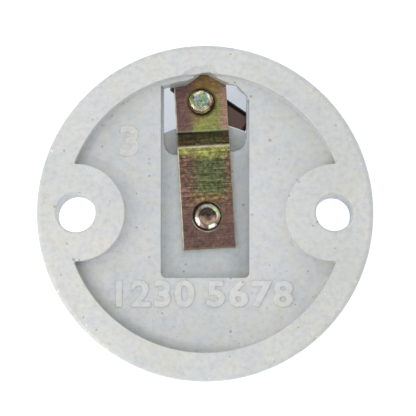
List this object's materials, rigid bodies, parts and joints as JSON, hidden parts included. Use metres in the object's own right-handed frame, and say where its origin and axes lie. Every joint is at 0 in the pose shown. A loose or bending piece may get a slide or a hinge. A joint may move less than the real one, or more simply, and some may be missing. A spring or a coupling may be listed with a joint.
{
  "type": "porcelain lamp holder",
  "caption": "Round flat-backed porcelain lamp holder with a rolled screw shell, a sprung centre contact and screw terminals at its sides, fixed through its flange.",
  "frame": {"origin": "centre of the mouth ring, on the lamp axis, in the plane that the holder stands on", "axes": "+Z along the lamp axis from the mouth to the flat back; +Y towards the line terminal; +X towards the right fixing hole as the back is looked at"},
  "size_m": [0.06, 0.06, 0.038],
  "materials": {
    "porcelain": "thin matt glaze with fine specks",
    "passivated_steel": "yellow passivated zinc, iridescent, cross brushed",
    "plated_rivet": "bright, rolled",
    "zinc_screw": "bright zinc",
    "shell_sheet": "rolled thin sheet",
    "spring_brass": "spring strip"
  },
  "bodies": {
    "holder": {"porcelain_body": "porcelain", "line_strip": "passivated_steel", "centre_rivet": "plated_rivet", "screw_shell": "shell_sheet", "shell_strip": "passivated_steel", "shell_fixing_screws": "zinc_screw", "centre_spring": "spring_brass"},
    "line_clamp": {"line_clamp_plate": "passivated_steel"},
    "line_screw": {"line_screw": "zinc_screw"},
    "shell_clamp": {"shell_clamp_plate": "passivated_steel"},
    "shell_screw": {"shell_screw": "zinc_screw"},
    "contact": {"contact_button": "spring_brass"}
  },
  "joints": [
    {"name": "line_clamp_travel", "type": "slide", "parent": "holder", "child": "line_clamp", "axis": [0, 0, -1], "range_m": [0, 0.0018]},
    {"name": "line_screw_turn", "type": "hinge", "parent": "line_clamp", "child": "line_screw", "pos_m": [-0.00076, 0.02099, 0.027], "axis": [0, 0, -1], "range_deg": [0, 810]},
    {"name": "shell_clamp_travel", "type": "slide", "parent": "holder", "child": "shell_clamp", "axis": [0, 0, -1], "range_m": [0, 0.0018]},
    {"name": "shell_screw_turn", "type": "hinge", "parent": "shell_clamp", "child": "shell_screw", "pos_m": [0, -0.02128, 0.027], "axis": [0, 0, -1], "range_deg": [0, 810]},
    {"name": "contact_press", "type": "slide", "parent": "holder", "child": "contact", "axis": [0, 0, 1], "range_m": [0, 0.0018], "stiffness_N_per_m": 1500, "deforming": ["centre_spring"]}
  ],
  "couplings": [
    {"joint": "line_screw_turn", "follows": "line_clamp_travel", "rad_per_m": 7854},
    {"joint": "shell_screw_turn", "follows": "shell_clamp_travel", "rad_per_m": 7854}
  ]
}
